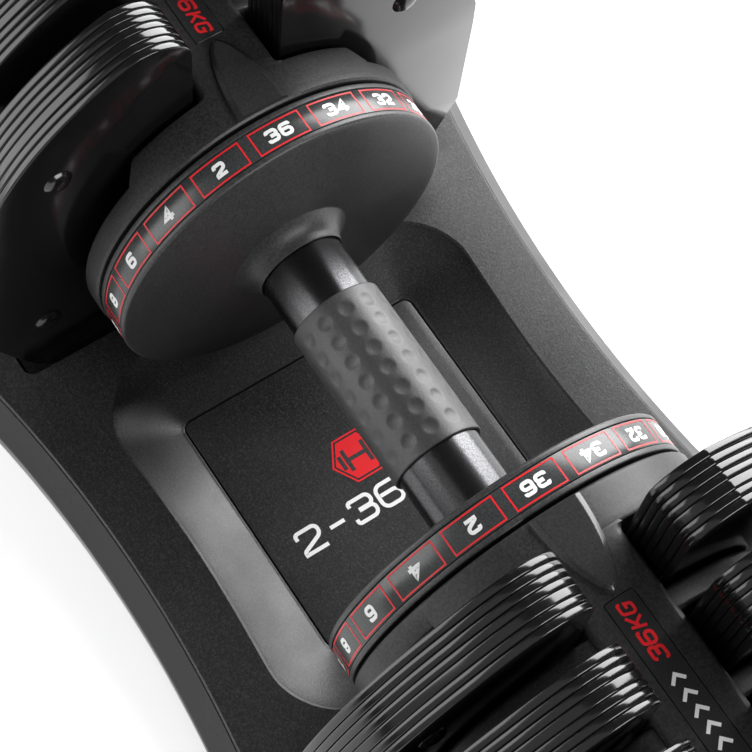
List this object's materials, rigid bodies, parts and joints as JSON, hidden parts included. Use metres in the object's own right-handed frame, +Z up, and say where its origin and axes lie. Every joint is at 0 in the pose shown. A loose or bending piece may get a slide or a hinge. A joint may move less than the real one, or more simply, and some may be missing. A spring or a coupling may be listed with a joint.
{
  "type": "adjustable dumbbell",
  "caption": "Adjustable dumbbell in a waisted storage cradle: twist handle with numbered dials, U-shaped steel plates on both heads.",
  "frame": {"origin": "on the floor, under the middle of the handle", "axes": "+X along the handle towards the right head, +Z up, +Y across the cradle"},
  "size_m": [0.4838, 0.2904, 0.2111],
  "materials": {
    "charcoal_plastic": "fine grained matt",
    "cradle_plastic": "grained matt",
    "panel_plastic": "fine grained matt",
    "painted_steel": "gloss black paint",
    "smoked_chrome": "smoked mirror",
    "grip_rubber": "matt, dimpled",
    "foot_rubber": "matt",
    "number_band": "satin with printed numbers",
    "label_foil": "sparkle satin",
    "zinc_steel": "zinc plated",
    "nylon": "natural moulded",
    "bush_bronze": "sintered"
  },
  "bodies": {
    "cradle": {"cradle_base": "cradle_plastic", "cradle_panel": "panel_plastic", "rubber_foot_1": "foot_rubber", "rubber_foot_2": "foot_rubber", "rubber_foot_3": "foot_rubber", "rubber_foot_4": "foot_rubber", "left_plate_rack": "cradle_plastic", "right_plate_rack": "cradle_plastic", "left_lock_post": "zinc_steel", "right_lock_post": "zinc_steel"},
    "heads": {"left_head_housing": "charcoal_plastic", "left_spine_label": "label_foil", "left_inner_bush": "bush_bronze", "left_outer_bush": "bush_bronze", "right_head_housing": "charcoal_plastic", "right_spine_label": "label_foil", "right_inner_bush": "bush_bronze", "right_outer_bush": "bush_bronze"},
    "handle": {"selector_shaft": "zinc_steel", "handle_tube": "smoked_chrome", "grip_sleeve": "grip_rubber", "left_dial": "charcoal_plastic", "left_number_band": "number_band", "left_end_cap": "charcoal_plastic", "left_selector_disc_1": "nylon", "left_selector_disc_2": "nylon", "left_selector_disc_3": "nylon", "left_selector_disc_4": "nylon", "left_selector_disc_5": "nylon", "right_dial": "charcoal_plastic", "right_number_band": "number_band", "right_end_cap": "charcoal_plastic", "right_selector_disc_1": "nylon", "right_selector_disc_2": "nylon", "right_selector_disc_3": "nylon", "right_selector_disc_4": "nylon", "right_selector_disc_5": "nylon"},
    "left_lock": {"left_lock_pin": "zinc_steel", "left_lock_spring": "zinc_steel"},
    "right_lock": {"right_lock_pin": "zinc_steel", "right_lock_spring": "zinc_steel"},
    "left_plate_6kg_inner": {"left_plate_6kg_inner": "painted_steel"},
    "left_plate_6kg_outer": {"left_plate_6kg_outer": "painted_steel"},
    "left_plate_3kg": {"left_plate_3kg": "painted_steel"},
    "left_plate_1kg_inner": {"left_plate_1kg_inner": "painted_steel"},
    "left_plate_1kg_outer": {"left_plate_1kg_outer": "painted_steel"},
    "right_plate_6kg_inner": {"right_plate_6kg_inner": "painted_steel"},
    "right_plate_6kg_outer": {"right_plate_6kg_outer": "painted_steel"},
    "right_plate_3kg": {"right_plate_3kg": "painted_steel"},
    "right_plate_1kg_inner": {"right_plate_1kg_inner": "painted_steel"},
    "right_plate_1kg_outer": {"right_plate_1kg_outer": "painted_steel"}
  },
  "joints": [
    {"name": "lift_from_cradle", "type": "slide", "parent": "cradle", "child": "heads", "axis": [0, 0, 1], "range_m": [0, 0.15]},
    {"name": "weight_select", "type": "hinge", "parent": "heads", "child": "handle", "pos_m": [0, 0, 0.0975], "axis": [1, 0, 0], "range_deg": [0, 340]},
    {"name": "left_lock_slide", "type": "slide", "parent": "heads", "child": "left_lock", "axis": [0, 0, -1], "range_m": [0, 0.005], "deforming": ["left_lock_spring"]},
    {"name": "right_lock_slide", "type": "slide", "parent": "heads", "child": "right_lock", "axis": [0, 0, -1], "range_m": [0, 0.005], "deforming": ["right_lock_spring"]},
    {"name": "left_plate_6kg_inner_lift", "type": "slide", "parent": "cradle", "child": "left_plate_6kg_inner", "axis": [0, 0, 1], "range_m": [0, 0.15]},
    {"name": "left_plate_6kg_outer_lift", "type": "slide", "parent": "cradle", "child": "left_plate_6kg_outer", "axis": [0, 0, 1], "range_m": [0, 0.15]},
    {"name": "left_plate_3kg_lift", "type": "slide", "parent": "cradle", "child": "left_plate_3kg", "axis": [0, 0, 1], "range_m": [0, 0.15]},
    {"name": "left_plate_1kg_inner_lift", "type": "slide", "parent": "cradle", "child": "left_plate_1kg_inner", "axis": [0, 0, 1], "range_m": [0, 0.15]},
    {"name": "left_plate_1kg_outer_lift", "type": "slide", "parent": "cradle", "child": "left_plate_1kg_outer", "axis": [0, 0, 1], "range_m": [0, 0.15]},
    {"name": "right_plate_6kg_inner_lift", "type": "slide", "parent": "cradle", "child": "right_plate_6kg_inner", "axis": [0, 0, 1], "range_m": [0, 0.15]},
    {"name": "right_plate_6kg_outer_lift", "type": "slide", "parent": "cradle", "child": "right_plate_6kg_outer", "axis": [0, 0, 1], "range_m": [0, 0.15]},
    {"name": "right_plate_3kg_lift", "type": "slide", "parent": "cradle", "child": "right_plate_3kg", "axis": [0, 0, 1], "range_m": [0, 0.15]},
    {"name": "right_plate_1kg_inner_lift", "type": "slide", "parent": "cradle", "child": "right_plate_1kg_inner", "axis": [0, 0, 1], "range_m": [0, 0.15]},
    {"name": "right_plate_1kg_outer_lift", "type": "slide", "parent": "cradle", "child": "right_plate_1kg_outer", "axis": [0, 0, 1], "range_m": [0, 0.15]}
  ],
  "couplings": [
    {"joint": "left_lock_slide", "follows": "lift_from_cradle", "ratio": 0.033333},
    {"joint": "right_lock_slide", "follows": "lift_from_cradle", "ratio": 0.033333},
    {"joint": "left_plate_6kg_inner_lift", "follows": "lift_from_cradle", "ratio": 1},
    {"joint": "left_plate_6kg_outer_lift", "follows": "lift_from_cradle", "ratio": 1},
    {"joint": "left_plate_3kg_lift", "follows": "lift_from_cradle", "ratio": 1},
    {"joint": "left_plate_1kg_inner_lift", "follows": "lift_from_cradle", "ratio": 1},
    {"joint": "left_plate_1kg_outer_lift", "follows": "lift_from_cradle", "ratio": 1},
    {"joint": "right_plate_6kg_inner_lift", "follows": "lift_from_cradle", "ratio": 1},
    {"joint": "right_plate_6kg_outer_lift", "follows": "lift_from_cradle", "ratio": 1},
    {"joint": "right_plate_3kg_lift", "follows": "lift_from_cradle", "ratio": 1},
    {"joint": "right_plate_1kg_inner_lift", "follows": "lift_from_cradle", "ratio": 1},
    {"joint": "right_plate_1kg_outer_lift", "follows": "lift_from_cradle", "ratio": 1}
  ]
}
